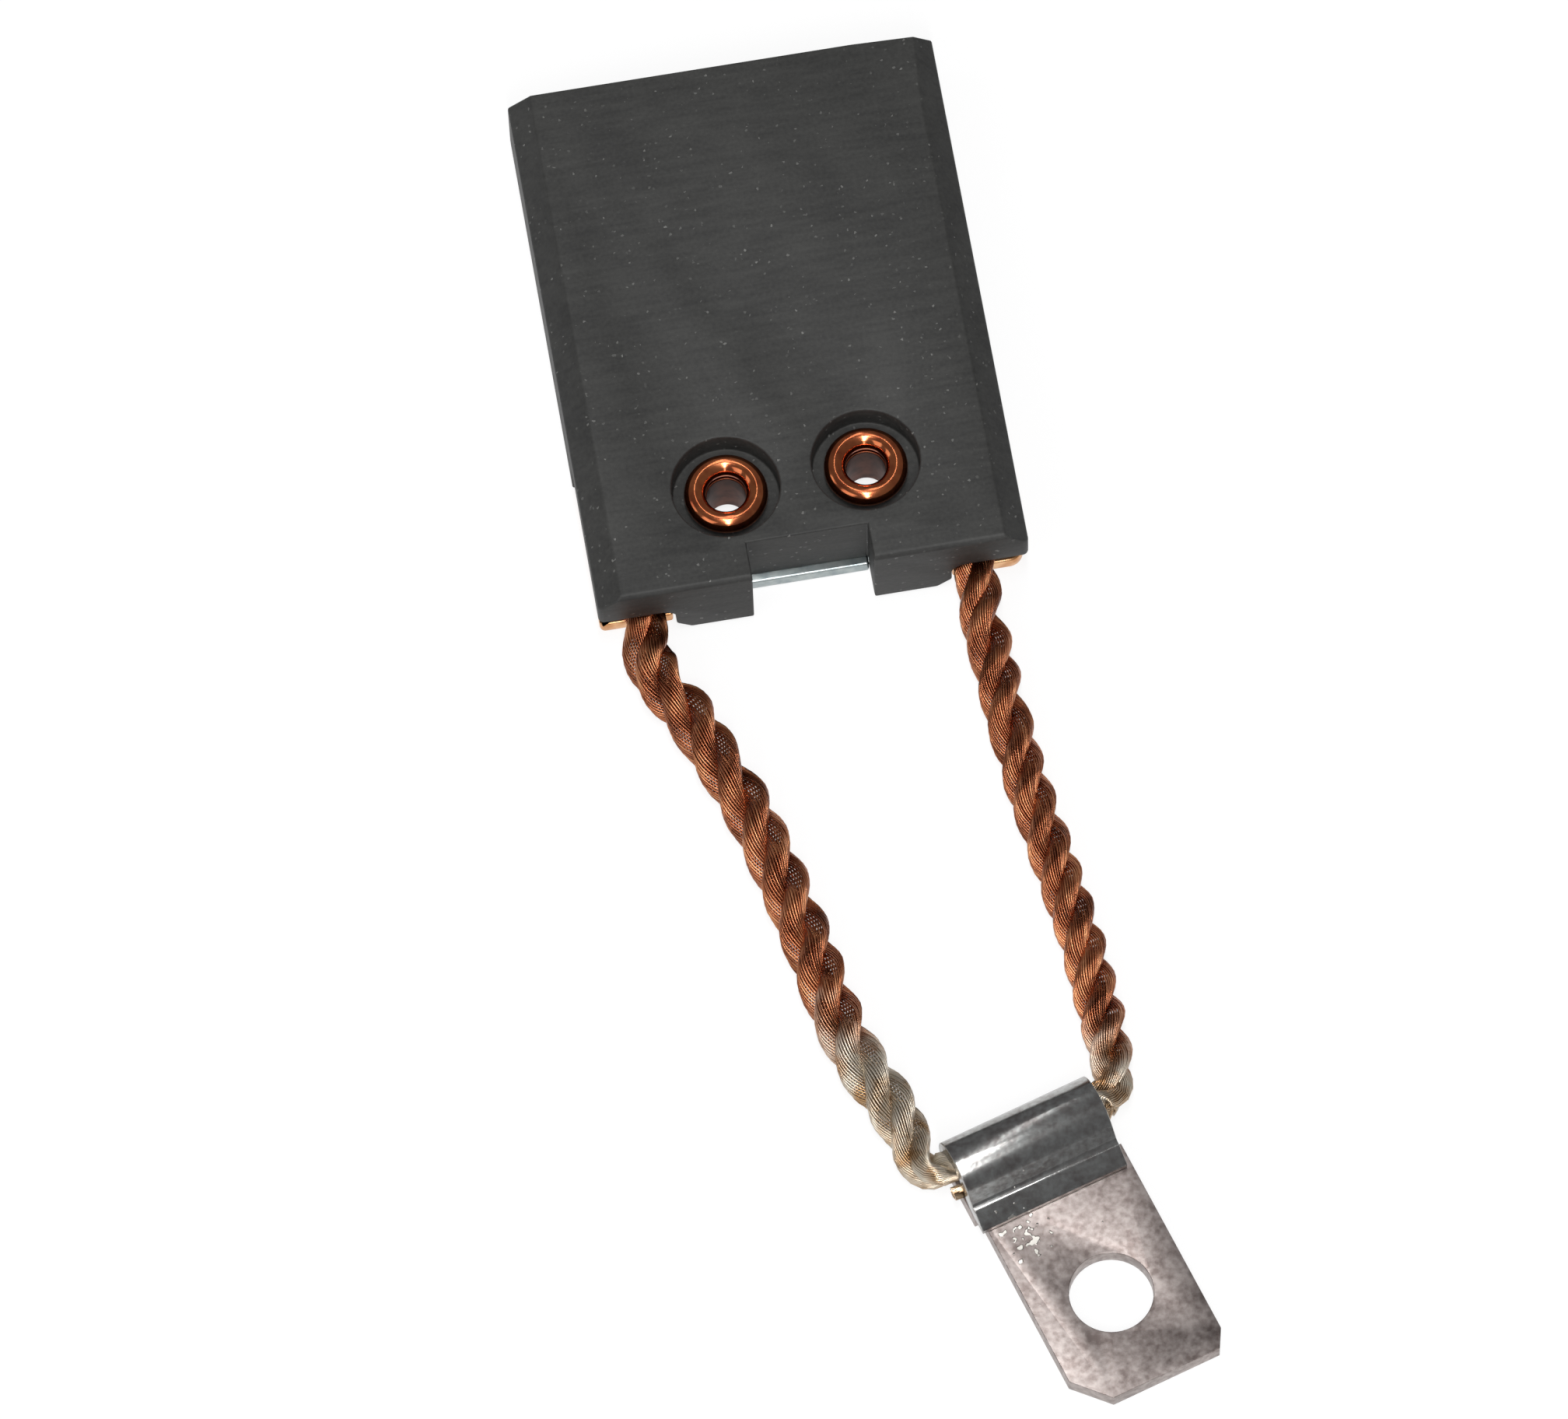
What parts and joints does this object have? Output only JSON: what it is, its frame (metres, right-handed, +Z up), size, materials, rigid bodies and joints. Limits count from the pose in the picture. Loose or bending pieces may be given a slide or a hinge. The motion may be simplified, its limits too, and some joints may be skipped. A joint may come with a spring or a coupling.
{
  "type": "carbon brush",
  "caption": "Flat carbon brush block with a riveted backing plate and twisted copper leads crimped in one folded screw terminal.",
  "frame": {"origin": "middle of the carbon block's underside, which lies on the surface", "axes": "+Z up out of the front face, +Y along the block from the lead end to the wearing face, +X to the right"},
  "size_m": [0.0241, 0.0737, 0.0048],
  "materials": {
    "carbon": "machined electrographite, dull dark grey with a fine sparkle",
    "tinned_plate": "tinned brass sheet, bare golden metal on its sheared edges",
    "copper": "polished copper",
    "stranded_copper": "twisted fine copper wires, tinned near the terminal",
    "tinned_strip": "dull tin plating over brass, with rolled bright edges"
  },
  "bodies": {
    "root": {"carbon_block": "carbon", "backing_plate": "tinned_plate", "rivet_left": "copper", "rivet_right": "copper", "lead_left": "stranded_copper", "lead_right": "stranded_copper", "terminal": "tinned_strip"}
  },
  "joints": []
}
